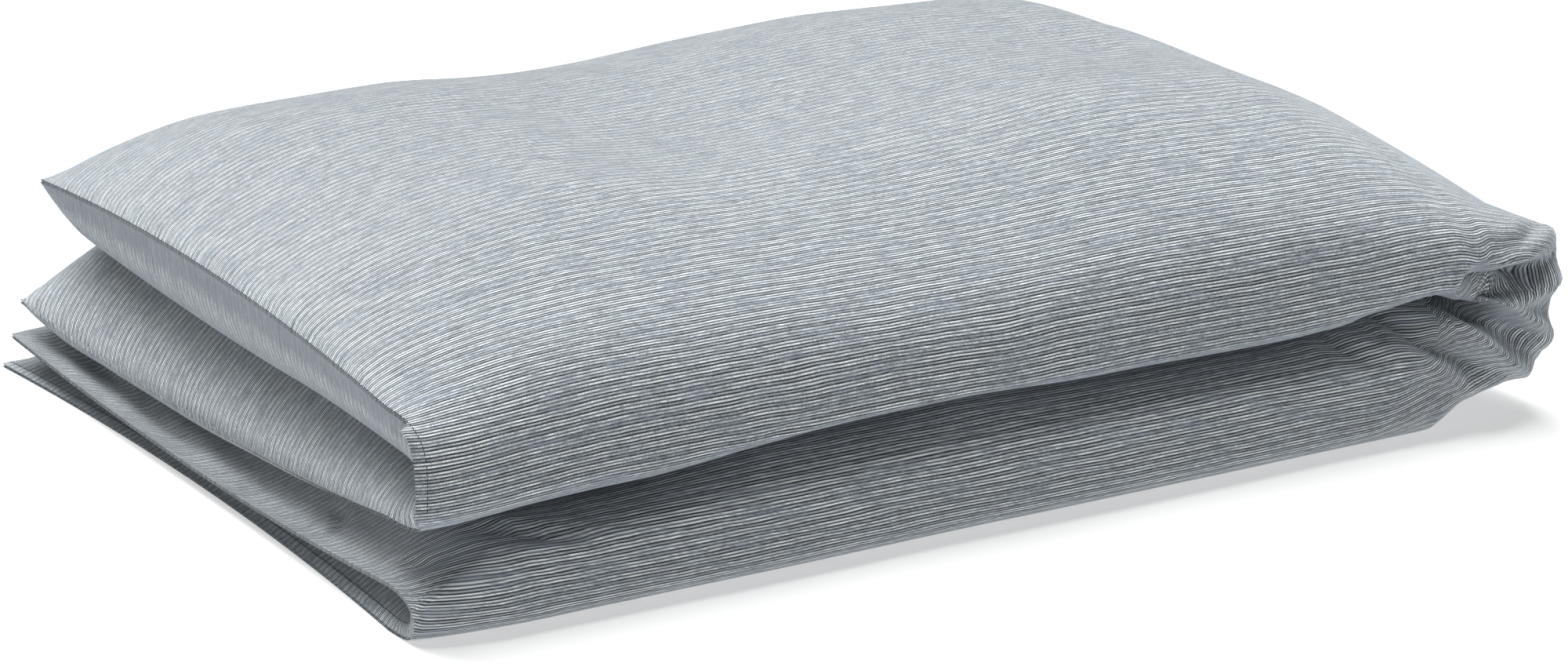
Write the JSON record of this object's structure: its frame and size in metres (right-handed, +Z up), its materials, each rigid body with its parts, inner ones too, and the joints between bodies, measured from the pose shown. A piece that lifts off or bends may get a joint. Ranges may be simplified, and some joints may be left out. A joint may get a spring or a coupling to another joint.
{
  "type": "folded duvet cover",
  "caption": "Filled duvet cover in fine stripes, folded in half twice into a soft stack of layers that rests flat.",
  "frame": {"origin": "on the surface it rests on, under the centre of its bounding box", "axes": "+X along the front fold towards the closed right-hand end, +Y from the front fold to the sewn edges at the back, +Z up through the layers"},
  "size_m": [0.9322, 0.7044, 0.236],
  "materials": {
    "striped_cotton": "matt yarn-dyed cotton in fine white, grey and charcoal stripes, slubby and soft"
  },
  "bodies": {
    "root": {"folded_duvet": "striped_cotton"}
  },
  "joints": []
}
